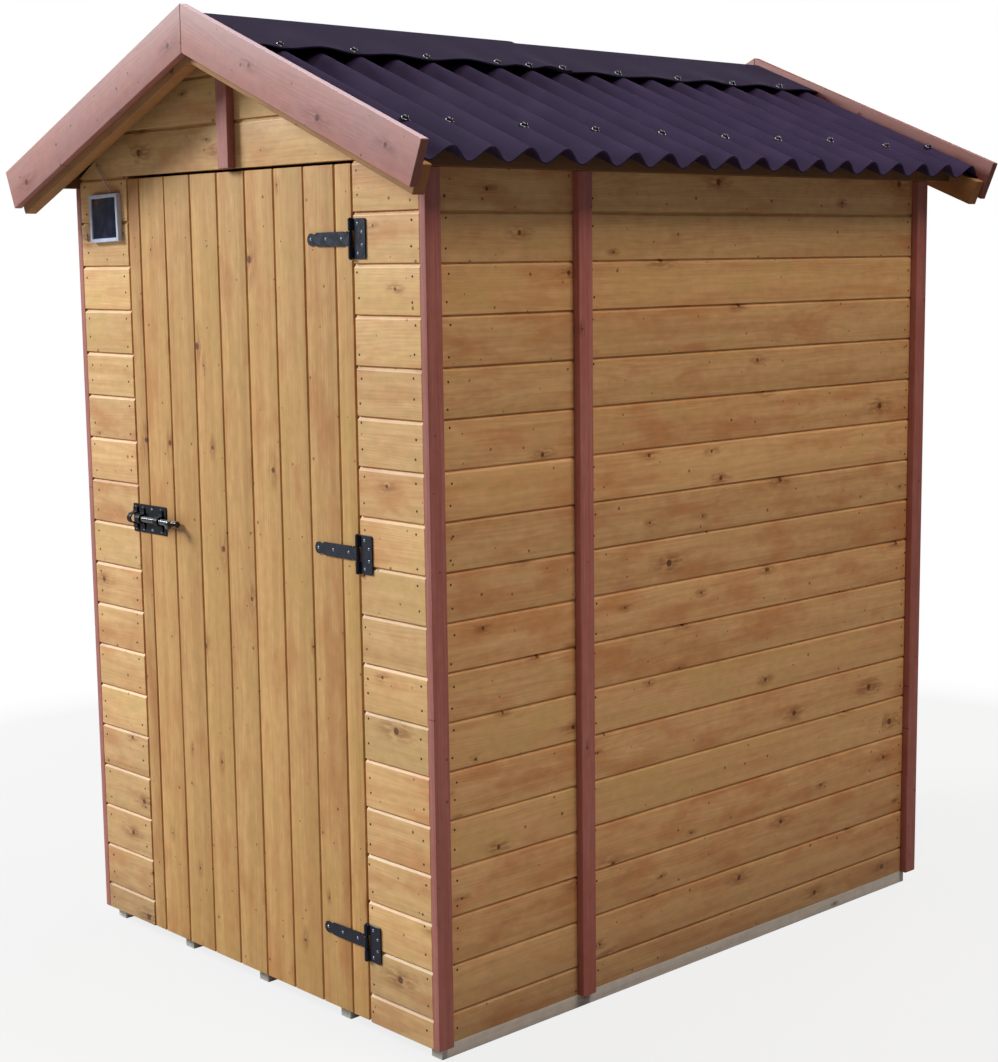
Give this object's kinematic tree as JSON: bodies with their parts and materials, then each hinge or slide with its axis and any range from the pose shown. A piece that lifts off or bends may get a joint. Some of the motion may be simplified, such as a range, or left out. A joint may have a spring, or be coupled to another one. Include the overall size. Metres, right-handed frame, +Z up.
{
  "type": "outdoor toilet shed",
  "caption": "Small timber outdoor toilet cabin on bearers with grooved pine cladding, a boarded door on strap hinges, a sliding bolt and a corrugated pitched roof.",
  "frame": {"origin": "on the ground, under the middle of the roof", "axes": "+Z up; the door wall faces -Y; the door hangs on its +X side"},
  "size_m": [1.438, 1.776, 2.0385],
  "materials": {
    "pine_cladding": "honey-stained softwood with knots",
    "pine_door": "honey-stained softwood with knots",
    "bare_pine": "plain sawn softwood",
    "treated_timber": "grey-green treated softwood",
    "mahogany_stain": "mahogany-stained softwood",
    "bitumen_sheet": "matt aubergine bitumen sheet",
    "black_steel": "black painted steel",
    "panel_frame": "pale anodised frame",
    "panel_glass": "dark blue cells under clear cover",
    "lead_sheath": "thin pinkish twin lead"
  },
  "bodies": {
    "shed": {"bearers": "treated_timber", "floor": "bare_pine", "corner_posts": "bare_pine", "wall_studs": "bare_pine", "sole_rails": "bare_pine", "top_rails": "bare_pine", "door_jambs": "bare_pine", "door_header": "bare_pine", "gable_studs": "bare_pine", "front_wall_left": "pine_cladding", "front_wall_right": "pine_cladding", "front_gable": "pine_cladding", "back_wall": "pine_cladding", "left_wall": "pine_cladding", "right_wall": "pine_cladding", "trims_left": "mahogany_stain", "trims_right": "mahogany_stain", "gable_trims": "mahogany_stain", "eave_purlins": "bare_pine", "ridge_purlin": "bare_pine", "rafters_front": "bare_pine", "rafters_rear": "bare_pine", "barge_front_left": "mahogany_stain", "barge_front_right": "mahogany_stain", "barge_rear_left": "mahogany_stain", "barge_rear_right": "mahogany_stain", "roof_sheet_left": "bitumen_sheet", "roof_sheet_right": "bitumen_sheet", "ridge_cap": "bitumen_sheet", "hinge_plates": "black_steel", "bolt_keep": "black_steel", "solar_frame": "panel_frame", "solar_glass": "panel_glass", "solar_lead": "lead_sheath"},
    "door": {"door_boards": "pine_door", "door_ledges": "bare_pine", "hinge_straps": "black_steel", "bolt_plate": "black_steel"},
    "bolt": {"bolt_rod": "black_steel"}
  },
  "joints": [
    {"name": "door_swing", "type": "hinge", "parent": "shed", "child": "door", "pos_m": [0.389, -0.785, 0], "axis": [0, 0, 1], "range_deg": [0, 110]},
    {"name": "bolt_slide", "type": "slide", "parent": "door", "child": "bolt", "axis": [-1, 0, 0], "range_m": [0, 0.04]}
  ]
}
